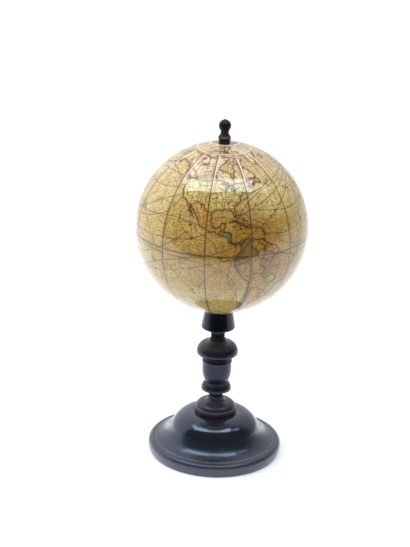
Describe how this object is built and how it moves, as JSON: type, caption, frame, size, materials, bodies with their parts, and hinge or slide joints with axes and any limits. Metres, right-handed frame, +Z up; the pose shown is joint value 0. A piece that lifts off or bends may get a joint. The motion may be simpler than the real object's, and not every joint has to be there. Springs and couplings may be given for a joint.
{
  "type": "terrestrial globe",
  "caption": "Small terrestrial globe of paper gores over a plastered ball, turning on an upright axle in a turned, ebonised stand with a round moulded base.",
  "frame": {"origin": "middle of the underside of the base, on the table", "axes": "+Z up along the axle, -Y towards the viewer of the picture, +X to the viewer's right"},
  "size_m": [0.12, 0.12, 0.2456],
  "materials": {
    "ebonised_wood": "french polished, worn at the edges",
    "iron": "drawn iron wire, dull",
    "brass": "dull, aged",
    "finial_wood": "polished, dark brown",
    "inner_wood": "raw turned softwood",
    "pasteboard": "raw",
    "linen": "glued flat",
    "plaster": "smooth, matte",
    "printed_paper": "aged, varnished"
  },
  "bodies": {
    "stand": {"base_foot": "ebonised_wood", "stem_column": "ebonised_wood", "axle_rod": "iron", "thrust_washer": "brass", "finial": "finial_wood"},
    "globe": {"core_post": "inner_wood", "south_pole_block": "inner_wood", "north_pole_block": "inner_wood", "south_pole_bush": "brass", "north_pole_bush": "brass", "south_pole_tacks": "iron", "north_pole_tacks": "iron", "south_half_shell": "pasteboard", "north_half_shell": "pasteboard", "seam_tape": "linen", "plaster_coat": "plaster", "gore_01": "printed_paper", "gore_02": "printed_paper", "gore_03": "printed_paper", "gore_04": "printed_paper", "gore_05": "printed_paper", "gore_06": "printed_paper", "gore_07": "printed_paper", "gore_08": "printed_paper", "gore_09": "printed_paper", "gore_10": "printed_paper", "gore_11": "printed_paper", "gore_12": "printed_paper", "south_polar_cap": "printed_paper", "north_polar_cap": "printed_paper"}
  },
  "joints": [
    {"name": "globe_spin", "type": "hinge", "parent": "stand", "child": "globe", "pos_m": [0, 0, 0.169], "axis": [0, 0, 1], "continuous": true}
  ]
}
